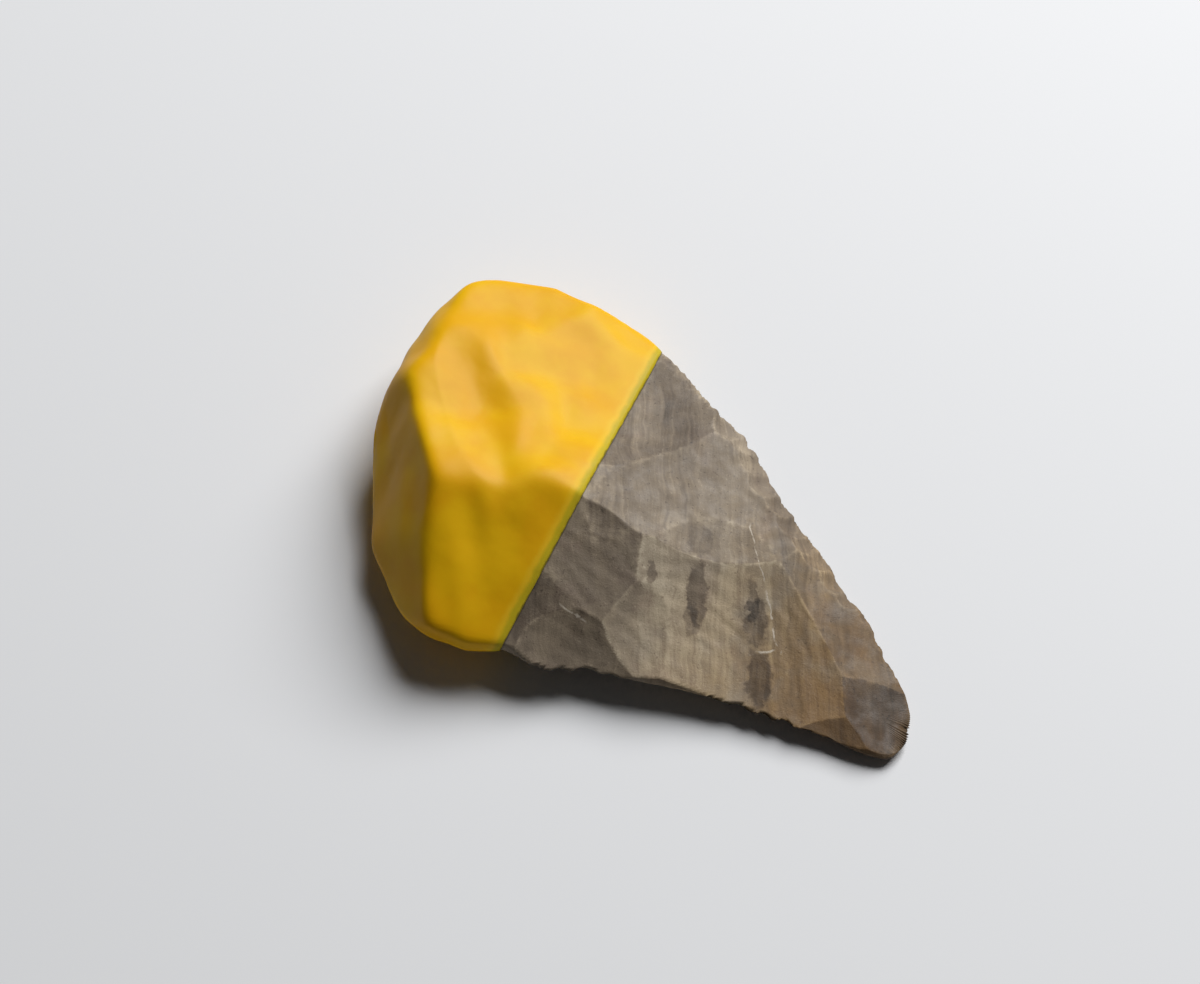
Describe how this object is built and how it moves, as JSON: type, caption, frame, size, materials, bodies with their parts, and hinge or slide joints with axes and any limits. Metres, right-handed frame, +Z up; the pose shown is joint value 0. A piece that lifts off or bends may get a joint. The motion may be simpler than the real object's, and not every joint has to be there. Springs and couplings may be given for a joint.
{
  "type": "stone hand axe",
  "caption": "Pointed knapped flint hand axe lying flat, its thick butt dipped in a smooth yellow rubbery coating.",
  "frame": {"origin": "on the ground, under the middle of the axe's bounding box", "axes": "+X along the axe towards its point, +Z up from its flatter face, +Y towards the far long edge"},
  "size_m": [0.1556, 0.099, 0.0325],
  "materials": {
    "banded_flint": "dull knapped grey-brown flint with darker bands and spots",
    "yellow_dip_coat": "satin-gloss yellow dip coat with a thin greenish edge"
  },
  "bodies": {
    "root": {"flint_hand_axe": "banded_flint", "dipped_grip_coat": "yellow_dip_coat"}
  },
  "joints": []
}
